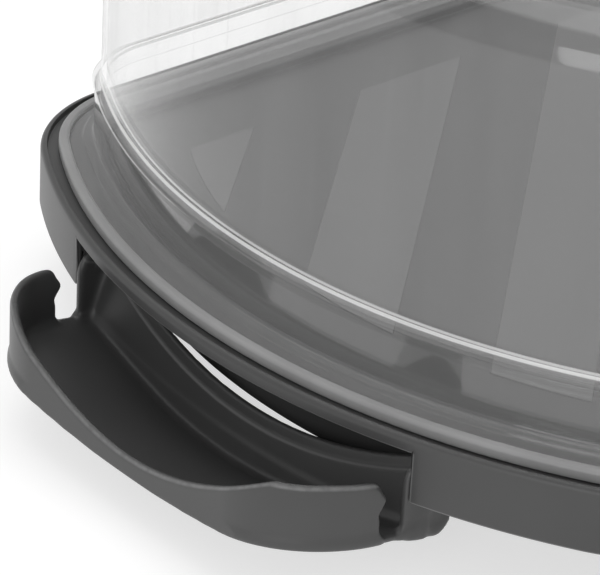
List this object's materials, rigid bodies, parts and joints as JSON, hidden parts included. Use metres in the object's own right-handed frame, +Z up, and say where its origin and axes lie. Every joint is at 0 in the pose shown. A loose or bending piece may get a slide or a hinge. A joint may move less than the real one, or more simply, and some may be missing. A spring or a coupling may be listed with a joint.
{
  "type": "rectangular cake carrier",
  "caption": "Rectangular cake carrier: a dark moulded tray with bowed ends, a clear lift-off cover and a hinged clip handle at each short end, swung open.",
  "frame": {"origin": "centre of the footprint, on the surface that the carrier stands on", "axes": "+X along the length, towards the right clip; +Y across the width, towards the back; +Z up"},
  "size_m": [0.4828, 0.295, 0.178],
  "materials": {
    "tray_plastic": "satin moulded",
    "clear_plastic": "clear, lightly scratched",
    "clip_plastic": "satin moulded",
    "pad_rubber": "matt"
  },
  "bodies": {
    "base": {"base_tray": "tray_plastic", "foot_pad_front_left": "pad_rubber", "foot_pad_front_right": "pad_rubber", "foot_pad_back_left": "pad_rubber", "foot_pad_back_right": "pad_rubber"},
    "cover": {"lid": "clear_plastic"},
    "clip_left": {"clip_handle_left": "clip_plastic"},
    "clip_right": {"clip_handle_right": "clip_plastic"}
  },
  "joints": [
    {"name": "lid_lift", "type": "slide", "parent": "base", "child": "cover", "axis": [0, 0, 1], "range_m": [0, 0.2]},
    {"name": "left_clip_hinge", "type": "hinge", "parent": "base", "child": "clip_left", "pos_m": [-0.1916, 0, 0.0367], "axis": [0, 1, 0], "range_deg": [0, 90]},
    {"name": "right_clip_hinge", "type": "hinge", "parent": "base", "child": "clip_right", "pos_m": [0.1916, 0, 0.0367], "axis": [0, -1, 0], "range_deg": [0, 90]}
  ]
}
